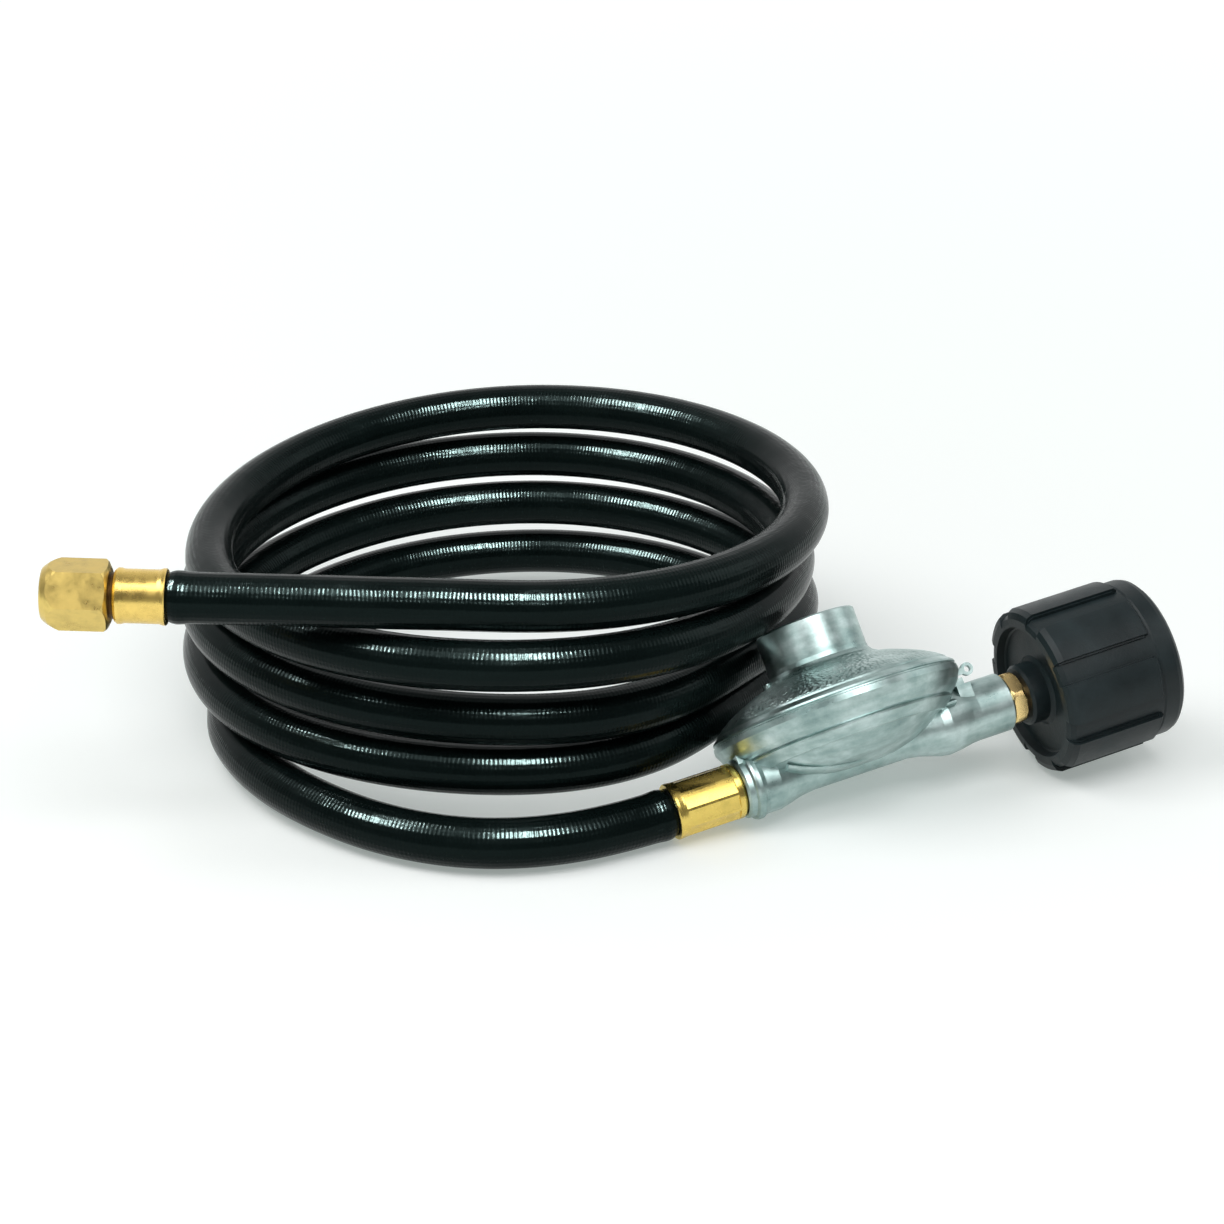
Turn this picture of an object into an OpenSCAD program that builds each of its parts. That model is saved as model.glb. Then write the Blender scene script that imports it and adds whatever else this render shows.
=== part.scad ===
// Low-pressure gas regulator with its coiled supply hose.
// A die-cast diaphragm regulator lies on its side. A ribbed hand nut on a brass
// inlet nipple joins it to a cylinder valve; a rubber hose runs from its outlet,
// through a loose coil of nearly four turns, to a flare nut for the appliance.
// Millimetres, +Z up, origin under the middle of the regulator, on the floor.

/* [View] */
// Sub-part to show

/* [Hose] */
// Outside diameter of the hose
hose_od = 15.9; // [15.5:0.1:16.1]
// Bore of the hose
hose_id = 9.5; // [9:0.1:10]

/* [Regulator body] */
// Diameter of the clamped flange
flange_d = 81.6; // [80.4:0.2:82.4]
// Distance from the outlet face to the tower's centre line
tower_at = 39.8; // [39.2:0.2:40.6]
// Diameter of the gas passage's outside
spine_d = 15.2; // [14.6:0.2:16]
// Diameter of the outlet boss
outlet_boss_d = 20; // [19:0.2:20.4]
// Diameter of the inlet boss
inlet_boss_d = 19; // [18.4:0.2:19.4]
// Length of the casting along the pipe axis
body_len = 94.6; // [94:0.2:96]
// Wall of the bowl
bowl_wall = 3; // [2.6:0.1:3.4]

/* [Bonnet] */
// Diameter of the spring tower
tower_d = 32.8; // [32.2:0.2:33.8]
// Height of the tower's rim above the pipe axis
tower_top = 43.5; // [42.5:0.25:45]
// Diameter of the adjusting screw's thread
screw_d = 25; // [24:0.2:25.4]

/* [Hand nut] */
// Diameter over the grip ribs
wheel_d = 54.9; // [53:0.2:56]
// Length of the hand nut
wheel_len = 42.2; // [41:0.2:43.4]
// Number of grip ribs
wheel_ribs = 8; // [7:1:10]
// Diameter of the coarse female thread
wheel_thread_d = 33.3; // [32.5:0.1:34]
// Pitch of that thread
wheel_pitch = 4.23; // [3.8:0.01:4.4]

/* [Fittings] */
// Diameter of the ferrule at the regulator
outlet_ferrule_d = 17.9; // [17.7:0.1:18.1]
// Length of the ferrule at the regulator
outlet_ferrule_len = 22.9; // [22:0.1:23.5]
// Diameter of the ferrule at the flare nut
fitting_ferrule_d = 17.2; // [17.1:0.1:17.5]
// Length of the ferrule at the flare nut
fitting_ferrule_len = 15.5; // [14.5:0.1:16.5]
// Width across the flats of the flare nut
nut_af = 19.05; // [18.8:0.05:20]
// Length of the flare nut
nut_len = 20.2; // [19.6:0.1:21]

/* [Lie] */
// Slope of the pipe axis, hand nut end up
reg_pitch = 8; // [7.5:0.25:8.5]
// Lean of the spring tower away from the front
reg_roll = 37; // [34:0.5:37.5]

/* [Hidden] */
$fn = 72;
gap = 0.3;                       // between neighbouring rounded faces
run = 0.06;                      // radial clearance of a part that turns or slides

// Placement of the regulator. Its local frame has X along the pipe axis from the
// outlet face to the hand nut and Z up the tower.
wheel_at = body_len + 9.8;       // near face of the hand nut along the pipe axis
wheel_low = wheel_at + 2.6;      // where its ribs reach their full height
reg_x = -62.3;
reg_y = -7.1;
reg_z = wheel_d / 2 * cos(reg_pitch) - wheel_low * sin(reg_pitch);

// Heights up the tower
joint_h = 14.2;                  // face where the bonnet meets the body
dia_t = 0.8;                     // thickness of the diaphragm
dia_r = flange_d / 2 - 4.2;      // radius of the diaphragm's rim
chamber_r = flange_d / 2 - 9.4;  // radius of the gas chamber
tower_r = tower_d / 2;
screw_r = screw_d / 2;
plate_top = joint_h + 1.7;       // top of the plate, where the spring stands
screw_low = 34;                  // underside of the adjusting screw's ring

// Valve line
pivot_s = tower_at + 11;         // lever pin along the pipe axis
pivot_h = -3.4;                  // lever pin across it
holder_r = 3.6;
holder_s = pivot_s + 2.4;        // left face of the seat holder
holder_len = 12;
lip_s = holder_s + holder_len + 0.55;
orifice_r = 4.9;
orifice_s = lip_s + 2.2;
orifice_len = 8.5;
nipple_thread_r = 6.6;           // quarter-inch pipe thread
nipple_s = orifice_s + orifice_len + 2.6;

// Inlet nipple, hand nut and bushing
collar_len = 4.4;
neck_r = 5.4;
bush_s = body_len + 5.7;
bush_end = bush_s + 17.7;
web_s = wheel_at + 2.8;           // floor of the dish in the hand nut's near face
web_t = 7.5;
hub_r = 10;
nose_end = bush_end + 13.5;
base_r = wheel_d / 2 - 1.7;

// Fitting at the far end: start of its ferrule and the way it points
fit_from = [-225, 49, 83];
fit_dir = [-0.9237, 0.3815, 0.0333];
fit_turn = atan2(fit_dir[1], fit_dir[0]);
fit_rise = asin(fit_dir[2]);
nut_from = fitting_ferrule_len + 1.4;

// Places the regulator's parts
module reg() translate([reg_x, reg_y, reg_z]) rotate([-reg_roll, -reg_pitch, 0]) children();
// Turns a shape drawn about Z so that it is about the pipe axis, X outward
module along(s = 0) translate([s, 0, 0]) rotate([0, 90, 0]) children();
// Up the tower
module tower(h = 0) translate([tower_at, 0, h]) children();
// Places the far fitting's parts, X outward from the hose
module fit() translate(fit_from) rotate([0, -fit_rise, fit_turn]) children();

module ring(ro, ri, l) difference() {
    cylinder(r = ro, h = l);
    translate([0, 0, -1]) cylinder(r = ri, h = l + 2);
}

// Outer line of the bowl from the spine to the flange, as radius and height
f_r = flange_d / 2;
bowl_line = [[0, -5.2], [8, -5.2], [14, -4.5], [20, -2.9], [25.4, -0.4], [30.2, 2.5], [30.8, 2.9],
    [31.4, 2.5], [32.3, 2.7], [f_r - 4.9, 5.7], [f_r - 4.8, 6.2], [f_r - 5.2, 6.7],
    [f_r - 4.4, 7.1], [f_r - 2.7, 8.5], [f_r - 1.3, 10.3], [f_r - 0.5, 11.9], [f_r, 12.9],
    [f_r, joint_h], [0, joint_h]];

// Die-cast lower body: bowl, flange, gas passage, both bosses, side ribs
module regulator_body() color("#9aa7ad") reg() difference() {
    union() {
        tower() rotate_extrude($fn = 128) polygon(bowl_line);
        // gas passage with the outlet boss, its bead and the inlet boss
        along() rotate_extrude() polygon([[0, 0.2], [outlet_boss_d / 2 - 1.4, 0.2],
            [outlet_boss_d / 2 - 0.5, 0.9], [outlet_boss_d / 2 - 0.4, 2.6],
            [outlet_boss_d / 2 + 0.5, 3.1], [outlet_boss_d / 2 + 0.9, 3.9],
            [outlet_boss_d / 2 + 0.9, 5.1], [outlet_boss_d / 2 + 0.4, 5.9],
            [outlet_boss_d / 2, 6.8], [outlet_boss_d / 2, 11.6], [outlet_boss_d / 2 - 0.8, 15],
            [spine_d / 2 + 0.5, 19.5], [spine_d / 2, 24], [spine_d / 2, 57],
            [spine_d / 2 + 0.6, 61], [inlet_boss_d / 2 - 0.2, 65], [inlet_boss_d / 2 + 0.9, 68.5],
            [inlet_boss_d / 2 + 1.3, 71.5], [inlet_boss_d / 2 + 0.9, 75.5],
            [inlet_boss_d / 2 + 0.2, 79.5], [inlet_boss_d / 2, 82.5],
            [inlet_boss_d / 2, body_len - 0.9], [inlet_boss_d / 2 - 0.9, body_len],
            [0, body_len]]);
        // shoulder that carries the flange over the inlet boss, with its saddle
        translate([70, -6, 0]) cube([11.6, 12, 11]);
        translate([77.6, -8.7, 0]) cube([4.8, 17.4, 8.6]);
        // lug on the flange's end, and the eye for a seal wire beside it
        translate([tower_at + f_r - 1.2, 0, 9.4]) cylinder(r = 3, h = 4.5, $fn = 40);
        translate([tower_at + f_r, -4.6, 13.2]) seal_eye();
        // foot of the bowl over the outlet boss
        translate([1.2, -6.5, 0]) cube([12, 13, 11.2]);
        // raised seam that sweeps under each side of the bowl and up to the inlet
        for (side = [-1, 1]) {
            side_seam(side);
            side_rise(side);
        }
    }
    // gas chamber, open to the diaphragm
    tower() rotate_extrude($fn = 96) polygon([[0, 2.8 + bowl_wall - 3], [22, 2.8 + bowl_wall - 3],
        [27, 4.2 + bowl_wall - 3], [chamber_r - 2.4, 9], [chamber_r, 11.4], [chamber_r, 20],
        [0, 20]]);
    // seat of the diaphragm's rim
    tower(joint_h - dia_t) cylinder(r = dia_r + 0.2, h = 4, $fn = 96);
    // trough for the lever, from the post to the seat holder
    translate([tower_at - 7, -3.2, -5.7]) cube([holder_s - tower_at + 9, 6.4, 12.7]);
    // outlet passage and the stem's thread
    along(8) cylinder(r = 3.6, h = tower_at - 8);
    along(-1) cylinder(r = hose_id / 2 + 0.65, h = 12.5);
    // seat holder's bore, orifice thread, inlet thread
    along(holder_s - 2) cylinder(r = holder_r + run, h = 20);
    along(orifice_s - 1.2) cylinder(r = orifice_r + 0.05, h = orifice_len + 1.4);
    along(orifice_s + orifice_len) cylinder(r = 5.4, h = 8);
    along(nipple_s - 0.3) cylinder(r = nipple_thread_r + 0.05, h = 30);
    along(body_len - 1.1) cylinder(r1 = nipple_thread_r, r2 = nipple_thread_r + 1.2, h = 1.2);
    // lever pin's cross hole
    translate([pivot_s, 0, pivot_h]) rotate([90, 0, 0]) cylinder(r = 1.05, h = 11, center = true);
}

// Eye for a seal wire: a drilled round tab on a short stalk
module seal_eye() difference() {
    union() {
        translate([4.2, 1.5, 0]) rotate([90, 0, 0]) cylinder(r = 2.1, h = 1.5, $fn = 32);
        translate([-2.4, 0, -1.2]) cube([6, 1.5, 1.9]);
    }
    translate([4.2, 5, 0]) rotate([90, 0, 0]) cylinder(r = 1.05, h = 8, $fn = 24);
}

// Seam under one side of the bowl: part of a thin ring standing on edge
seam_s = tower_at - 3.5;
seam_h = 45.4;
seam_r = 49.6;
module side_seam(side) intersection() {
    translate([seam_s, side * 9.4, seam_h]) rotate([90, 0, 0]) rotate_extrude($fn = 128)
        translate([seam_r, 0]) scale([1, 4.2]) circle(r = 1.15, $fn = 20);
    translate([tower_at - 26, side * 12 - 12, -10]) cube([46, 24, 20]);
}

// Continuation of the seam, curving the other way up to the inlet shoulder
module side_rise(side) intersection() {
    translate([tower_at + 33, side * 9, -29.6]) rotate([90, 0, 0]) rotate_extrude($fn = 128)
        translate([33.6, 0]) scale([1, 3.4]) circle(r = 1.15, $fn = 20);
    translate([tower_at + 16.8, side * 12 - 12, -12]) cube([17.6, 24, 24]);
}

// Bonnet: flange, dome and spring tower, with the vent spigot
module bonnet() color("#a4b0b6") reg() difference() {
    union() {
        tower() rotate_extrude($fn = 128) polygon([[0, joint_h], [f_r - 0.1, joint_h],
            [f_r - 0.1, 14.8], [f_r - 0.7, 15.1], [f_r - 0.7, 15.5], [f_r - 0.3, 15.8],
            [f_r - 0.5, 16.4], [f_r - 1.4, 17.2], [f_r - 2.3, 17.8], [f_r - 2.5, 18.4],
            [f_r - 4.8, 20.1], [f_r - 8, 22], [28.4, 24], [23.6, 25.9], [tower_r + 3.4, 27],
            [tower_r + 1.2, 28.3], [tower_r + 0.2, 29.7], [tower_r, 31.2],
            [tower_r, tower_top - 0.5], [tower_r - 0.5, tower_top], [0, tower_top]]);
        // lug at the foot of the tower
        translate([tower_at - tower_r - 2.2, 0, 24.5]) cylinder(r = 1.7, h = 4);
        // vent spigot
        translate([tower_at + f_r - 5, 0, joint_h + 2]) along() cylinder(r = 1.9, h = 6.2, $fn = 32);
    }
    // air chamber and the spring's space
    tower(joint_h - 1) cylinder(r = chamber_r, h = 3.4, $fn = 96);
    tower(joint_h + 2.3) cylinder(r1 = chamber_r, r2 = 15.5, h = 8.4, $fn = 96);
    tower(20) cylinder(r = screw_r - 0.9, h = 20);
    // adjusting screw's thread, cap's recess
    tower(screw_low - 4) cylinder(r = screw_r + 0.06, h = 30);
    tower(tower_top - 3.2) cylinder(r = screw_r + 1.5, h = 5);
    // vent passage
    translate([tower_at + chamber_r - 4, 0, joint_h + 2]) along() cylinder(r = 1, h = 30, $fn = 24);
    translate([tower_at + f_r + 0.4, 0, joint_h + 2]) along() cylinder(r = 1.4, h = 10, $fn = 24);
}

// Gauze plug in the vent spigot
module vent_screen() color("#5b6266") reg()
    translate([tower_at + f_r + 0.5, 0, joint_h + 2]) along() difference() {
        cylinder(r = 1.35, h = 0.6, $fn = 32);
        for (a = [0 : 60 : 300])
            rotate(a) translate([0.8, 0, -1]) cylinder(r = 0.22, h = 3, $fn = 16);
        translate([0, 0, -1]) cylinder(r = 0.22, h = 3, $fn = 16);
    }

// Plastic cap screwed into the mouth of the tower, with a coin slot
module closing_cap() color("#2b2d2f") reg() tower() difference() {
    union() {
        translate([0, 0, tower_top - 3.1]) cylinder(r = screw_r + 1.4, h = 2.5);
        translate([0, 0, tower_top - 6]) ring(screw_r, screw_r - 2.4, 3.2);
    }
    translate([-8, -1.1, tower_top - 2]) cube([16, 2.2, 3]);
    for (a = [45 : 90 : 315])
        rotate(a) translate([screw_r - 2.4, 0, tower_top - 1.4]) cylinder(r = 1, h = 2, $fn = 24);
}

// Threaded ring that sets the spring's load
module adjusting_screw() color("#c7b05a") reg() tower(screw_low) difference() {
    cylinder(r = screw_r, h = 3.2);
    translate([0, 0, -1]) cylinder(r = 4.6, h = 6, $fn = 6);
    for (h = [0.9 : 1.2 : 2.4])
        translate([0, 0, h]) ring(screw_r + 1, screw_r - 0.45, 0.35);
}

// Compression spring between plate and screw
spring_r = 9;
wire_r = 0.95;
module main_spring() color("#8f979b") reg() tower(plate_top)
    coil_spring(spring_r, wire_r, screw_low - plate_top, 5);

// Round-wire compression spring about Z, from 0 to h, with closed ends
function lift(u, n, w, h) = let (e = 0.75 / n)
    u < e ? w + (u / e) * 1.1 * w :
    u > 1 - e ? h - w - ((1 - u) / e) * 1.1 * w :
    2.1 * w + (u - e) / (1 - 2 * e) * (h - 4.2 * w);
module coil_spring(r, w, h, turns, per = 20) {
    steps = turns * per;
    path = [for (i = [0 : steps]) let (u = i / steps, a = 360 * turns * u)
        [r * cos(a), r * sin(a), lift(u, turns, w, h)]];
    tube(path, w, 6);
}

// Swept tube: path of centres, radius, sides; square ends, triangles only
function unit(v) = v / norm(v);
function heading(p, i) = i == 0 ? unit(p[1] - p[0]) :
    i == len(p) - 1 ? unit(p[i] - p[i - 1]) :
    unit(unit(p[i + 1] - p[i]) + unit(p[i] - p[i - 1]));
function across(t) = unit(cross([0, 0, 1], t));
function ring_of(c, t, r, n) = let (u = across(t), v = cross(t, u))
    [for (k = [0 : n - 1]) let (a = 360 * (k + 0.5) / n - 90) c + r * cos(a) * u + r * sin(a) * v];
module tube(path, r, n) {
    m = len(path);
    pts = [for (i = [0 : m - 1]) each ring_of(path[i], heading(path, i), r, n)];
    walls = [for (i = [0 : m - 2], k = [0 : n - 1]) let (a = i * n + k, b = i * n + (k + 1) % n)
        each [[a, a + n, b], [b, a + n, b + n]]];
    ends = [for (k = [1 : n - 2]) each [[0, k, k + 1], [(m - 1) * n, (m - 1) * n + k + 1,
        (m - 1) * n + k]]];
    polyhedron(points = pts, faces = concat(walls, ends));
}

// Rubber diaphragm with one rolled fold, clamped under the bonnet
fold_r = chamber_r - 3.6;
module diaphragm() color("#33302d") reg() tower(joint_h - dia_t) rotate_extrude($fn = 96)
    polygon([[2.2, 0], [fold_r - 3.1, 0], [fold_r - 2.2, -0.4], [fold_r - 1.2, -1.5],
        [fold_r, -1.9], [fold_r + 1.2, -1.5], [fold_r + 2.2, -0.4], [fold_r + 3, 0], [dia_r, 0],
        [dia_r, dia_t - 0.05], [fold_r + 2.7, dia_t - 0.05], [fold_r + 1.6, 0.3],
        [fold_r + 0.8, -0.8], [fold_r, -1.1], [fold_r - 0.8, -0.8], [fold_r - 1.6, 0.3],
        [fold_r - 2.7, dia_t - 0.05], [2.2, dia_t - 0.05]]);

// Pressed steel plate that the spring stands on
plate_r = fold_r - 3.4;
module diaphragm_plate() color("#a9b0b3") reg() tower(joint_h) rotate_extrude($fn = 96)
    polygon([[2.2, 0], [plate_r - 1.4, 0], [plate_r - 0.4, 0.4], [plate_r, 1.4], [plate_r, 2.2],
        [plate_r - 0.9, 2.2], [plate_r - 1, 1.6], [plate_r - 1.8, 1.1], [spring_r + 4, 1.1],
        [spring_r + 3.2, 1.7], [2.2, 1.7]]);

// Post riveted through plate and diaphragm; its foot is slotted for the lever
post_foot = 5.6;
module diaphragm_post() color("#c9a34b") reg() tower() difference() {
    union() {
        translate([0, 0, post_foot]) cylinder(r = 2.9, h = joint_h - dia_t - post_foot);
        translate([0, 0, joint_h - dia_t - 1]) cylinder(r = 7, h = 1);
        translate([0, 0, joint_h - dia_t - 0.1]) cylinder(r = 2.1, h = 3);
        translate([0, 0, plate_top]) cylinder(r1 = 3.6, r2 = 2.6, h = 1.4);
    }
    translate([-4, -1.6, post_foot + 1.4]) cube([8, 3.2, 2.6]);
}

// Bell-crank lever: long arm into the post, short arm against the seat holder
lever_h = post_foot + 2.7 - pivot_h;
module lever() color("#b9b4a8") reg() translate([pivot_s, 0, pivot_h]) difference() {
    union() {
        rotate([90, 0, 0]) cylinder(r = 1.9, h = 2.4, center = true);
        translate([-1.7, -1.2, 0]) cube([3.4, 2.4, lever_h + 0.55]);
        translate([tower_at - pivot_s - 1.6, -1.2, lever_h - 0.55])
            cube([pivot_s - tower_at + 1.6, 2.4, 1.1]);
        translate([0, 0, -pivot_h]) rotate([90, 0, 0]) cylinder(r = 2.3, h = 2.4, center = true);
    }
    rotate([90, 0, 0]) cylinder(r = 1.06, h = 8, center = true);
}

module lever_pin() color("#8b9296") reg() translate([pivot_s, 0, pivot_h]) rotate([90, 0, 0])
    cylinder(r = 1, h = 10.4, center = true, $fn = 32);

// Sliding holder of the seat disc, with three flats for the gas
module seat_holder() color("#c6a85a") reg() along(holder_s) difference() {
    cylinder(r = holder_r, h = holder_len);
    for (a = [90, 210, 330]) rotate(a) translate([holder_r - 0.7, -4, -1]) cube([3, 8, 20]);
    translate([0, 0, holder_len - 1.6]) cylinder(r = 2.3, h = 3);
}

module seat_disc() color("#1d1d1d") reg() along(holder_s + holder_len - 1.6)
    cylinder(r = 2.25, h = 1.6);

// Brass orifice screwed in against the seat
module inlet_orifice() color("#c9a34b") reg() along() difference() {
    rotate_extrude() polygon([[0.9, lip_s], [1.3, lip_s], [2.6, lip_s + 1.9],
        [2.6, orifice_s], [orifice_r, orifice_s], [orifice_r, orifice_s + orifice_len],
        [1.1, orifice_s + orifice_len], [1.1, orifice_s], [0.9, lip_s + 1]]);
    translate([0, 0, orifice_s + orifice_len - 1.2]) translate([-0.6, -6, 0]) cube([1.2, 12, 3]);
}

// Sintered filter in front of the orifice
module inlet_filter() color("#a58a52") reg() along(orifice_s + orifice_len + 0.1) difference() {
    cylinder(r = 5.3, h = 1.8);
    for (a = [0 : 60 : 300]) rotate(a) translate([2.6, 0, -1]) cylinder(r = 0.5, h = 4, $fn = 16);
}

// Brass inlet nipple: pipe thread, hexagon collar, neck, shoulder, rounded nose
collar_s = body_len + 0.05;
nose_s = bush_end + 0.05;
module inlet_nipple() color("#d2a548") reg() along() difference() {
    union() {
        translate([0, 0, nipple_s]) cylinder(r1 = nipple_thread_r - 0.2, r2 = nipple_thread_r,
            h = collar_s - nipple_s);
        intersection() {
            translate([0, 0, collar_s]) rotate(30) cylinder(r = 9.3, h = collar_len, $fn = 6);
            translate([0, 0, collar_s]) rotate_extrude() polygon([[0, 0], [8.3, 0], [8.9, 0.8],
                [8.9, collar_len - 0.8], [8.3, collar_len], [0, collar_len]]);
        }
        translate([0, 0, collar_s]) cylinder(r = neck_r, h = nose_s - collar_s + 1);
        translate([0, 0, nose_s]) rotate_extrude() polygon([[0, 0], [7.2, 0], [7.4, 0.3],
            [7.4, 2.6], [7.0, 3], [6.1, 3.2], [6.1, nose_end - nose_s - 4.2],
            [5.6, nose_end - nose_s - 2.2], [4.6, nose_end - nose_s - 0.8],
            [3.8, nose_end - nose_s], [0, nose_end - nose_s]]);
    }
    translate([0, 0, nipple_s - 1]) cylinder(r = 2.2, h = nose_end - nipple_s);
    translate([0, 0, nose_end - 15]) cylinder(r = 2.9, h = 16);
    for (h = [nipple_s + 1.5 : 1.41 : collar_s - 1.5])
        translate([0, 0, h]) ring(nipple_thread_r + 1, nipple_thread_r - 0.55, 0.6);
    translate([0, 0, nose_end - 9]) ring(8, 5.0, 2.2);
}

// O-ring in the nose's groove
module nipple_o_ring() color("#1b1b1b") reg() along(nose_end - 7.9)
    rotate_extrude() translate([6.0, 0]) circle(r = 0.98, $fn = 24);

// Flow limiter: a poppet that a surge carries against the nose plug
poppet_s = nose_end - 12;
module limiter_poppet() color("#b98f3e") reg() along(poppet_s) difference() {
    union() {
        cylinder(r = 2.84, h = 2.6);
        translate([0, 0, 2.6]) cylinder(r = 1.1, h = 1.6);
    }
    for (a = [0 : 120 : 240]) rotate(a) translate([2.5, 0, -1]) cylinder(r = 0.9, h = 6, $fn = 24);
}

module limiter_spring() color("#9ba1a4") reg() along(poppet_s + 2.6)
    coil_spring(1.75, 0.24, nose_end - 3 - poppet_s - 2.6, 4, 14);

// Drilled plug that closes the nose and holds the spring
module nose_plug() color("#d2a548") reg() along(nose_end - 3) difference() {
    cylinder(r = 2.86, h = 2.6);
    for (a = [0 : 90 : 270]) rotate(a) translate([1.6, 0, -1]) cylinder(r = 0.55, h = 5, $fn = 20);
}

// Heat-sensitive bushing: slides on the neck and carries the hand nut
module thermal_bushing() color("#1f2224") reg() along(bush_s) difference() {
    union() {
        cylinder(r = 7.4, h = bush_end - bush_s);
        translate([0, 0, web_s + web_t + 0.1 - bush_s])
            cylinder(r = 11.5, h = bush_end - web_s - web_t - 0.1);
    }
    translate([0, 0, -1]) cylinder(r = neck_r + run, h = 30);
}

// Hand nut: ribbed grip, dished back with a hub round the nipple, coarse thread at the front
rib_end = wheel_len - 8.6;
module handwheel() color("#191b1c") reg() along(wheel_at) difference() {
    union() {
        // base with the smooth front rim
        rotate_extrude($fn = 128) polygon([[0, 0], [base_r - 3, 0], [base_r - 1.2, 0.5],
            [base_r, 1.9], [base_r, rib_end + 0.6], [base_r + 0.35, rib_end + 1.2],
            [base_r + 0.35, wheel_len - 2.6], [base_r - 0.1, wheel_len - 1.2],
            [base_r - 1.4, wheel_len], [0, wheel_len]]);
        // raised panels, each with a lower step along its flanks
        for (i = [0 : wheel_ribs - 1]) rotate(360 * (i + 0.5) / wheel_ribs + 180) {
            panel(360 / wheel_ribs * 0.315, 0, rib_end, wheel_d / 2);
            panel(360 / wheel_ribs * 0.345, 0.3, rib_end - 0.8, wheel_d / 2 - 0.8);
        }
        // hub that reaches out round the nipple
        translate([0, 0, bush_s - wheel_at]) rotate_extrude() polygon([[0, 0], [hub_r - 0.9, 0],
            [hub_r, 0.9], [hub_r, 12], [0, 12]]);
    }
    // dish between hub and rim
    rotate_extrude($fn = 96) polygon([[hub_r, -0.5], [21.9, -0.5], [21.7, 0.2], [21, 2.4],
        [20.4, web_s - wheel_at], [hub_r + 1.6, web_s - wheel_at], [hub_r, 1.8]]);
    // hole for the bushing
    translate([0, 0, -10]) cylinder(r = 7.4 + run, h = 40);
    // space for the bushing's flange, relief round the nose, then the thread
    translate([0, 0, web_s + web_t - wheel_at]) cylinder(r = 12.4, h = 12);
    translate([0, 0, relief_from]) cylinder(r = groove_root, h = thread_from - relief_from);
    translate([0, 0, thread_from - 1])
        cylinder(r = groove_root - wheel_pitch / 2, h = wheel_len - thread_from + 2);
    for (h = [thread_from + 1.9 : wheel_pitch : wheel_len - 3.4])
        translate([0, 0, h]) thread_groove();
    translate([0, 0, wheel_len - 2]) cylinder(r1 = groove_root - wheel_pitch / 2,
        r2 = groove_root + 0.4, h = 2.01);
}
relief_from = nose_s + 3.5 - wheel_at;
thread_from = nose_end + 0.6 - wheel_at;
groove_root = wheel_thread_d / 2;
module thread_groove() rotate_extrude() polygon([[groove_root - wheel_pitch / 2 - 1, -1.4],
    [groove_root - wheel_pitch / 2, -1.2], [groove_root, -0.7], [groove_root, 0.7],
    [groove_root - wheel_pitch / 2, 1.2], [groove_root - wheel_pitch / 2 - 1, 1.4]]);

// One raised panel: a wedge of a ring with chamfered ends
module panel(half, from, to, r) intersection() {
    rotate_extrude($fn = 128) polygon([[base_r - 3, from], [r - 2.9, from],
        [r - 0.9, from + 0.8], [r, from + 2.6], [r, to - 1], [r - 1, to], [base_r - 3, to]]);
    linear_extrude(height = wheel_len) polygon([[0, 0], [40, -40 * tan(half)],
        [40, 40 * tan(half)]]);
}

// Hose stem at the outlet: threaded shank and barbs
stem_r = hose_id / 2;
module outlet_stem() color("#cda24a") reg() along() difference() {
    union() {
        translate([0, 0, 0.5]) cylinder(r = stem_r + 0.6, h = 10.8);
        translate([0, 0, -2.2]) cylinder(r = stem_r + 0.6, h = 3);
        translate([0, 0, -outlet_ferrule_len + 0.6])
            cylinder(r = stem_r - 0.35, h = outlet_ferrule_len - 1);
        for (s = [0 : 3])
            translate([0, 0, -outlet_ferrule_len + 1.4 + s * (outlet_ferrule_len - 4.5) / 4])
                cylinder(r1 = stem_r - 0.35, r2 = stem_r - 0.05, h = 3);
    }
    translate([0, 0, -30]) cylinder(r = 3, h = 50);
}

// Crimped ferrule over the hose at the regulator: flared lip, long flats, inner flange
module outlet_ferrule() color("#d8ab3c") reg() along() difference() {
    ferrule(outlet_ferrule_d / 2, outlet_ferrule_len, 0.15);
    for (i = [0 : 9]) rotate(36 * i + 12) translate([outlet_ferrule_d / 2 + 19.4, 0,
        -outlet_ferrule_len + 3]) cylinder(r = 20, h = outlet_ferrule_len - 5.6, $fn = 240);
}

// Ferrule about Z that ends at z = 0, hose side down, its waist drawn in
module ferrule(r, len, waist) {
    ri = hose_od / 2 - 0.35;
    rs = stem_r + 0.65;
    rotate_extrude() polygon([[ri, -len], [r - 0.25, -len], [r, -len + 0.3], [r, -len + 1.1],
        [r - waist, -len + 2.4], [r - waist, -2.8], [r - 0.1, -1.9], [r - 0.1, -0.9],
        [r - 0.7, -0.1], [rs, -0.1], [rs, -1.9], [ri, -1.9]]);
}

// End of the hose inside the regulator's ferrule
module outlet_grip() color("#222425") reg() along(-outlet_ferrule_len)
    ring(hose_od / 2 - 0.75, stem_r, outlet_ferrule_len - 2.4);

// ---- Hose ----
// Coil stations, four to a turn (front, right, back, left): height and reach
coil_z = [80, 73.5, 70, 61, 63.5, 55, 51, 44.5, 41.5, 34, 33, 25, 23.5, 18, 13, 8];
coil_r = [98, 97.5, 97, 98.5, 105, 94, 99.5, 102, 97, 98.5, 97, 102, 95.5, 94, 98.5, 95.5];
// how far each turn is drawn in beside the regulator's tower
tuck = [0, 2, 12, 11.2];
coil_mid = [-96.2, 101.7];
per_turn = 24;
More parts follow.
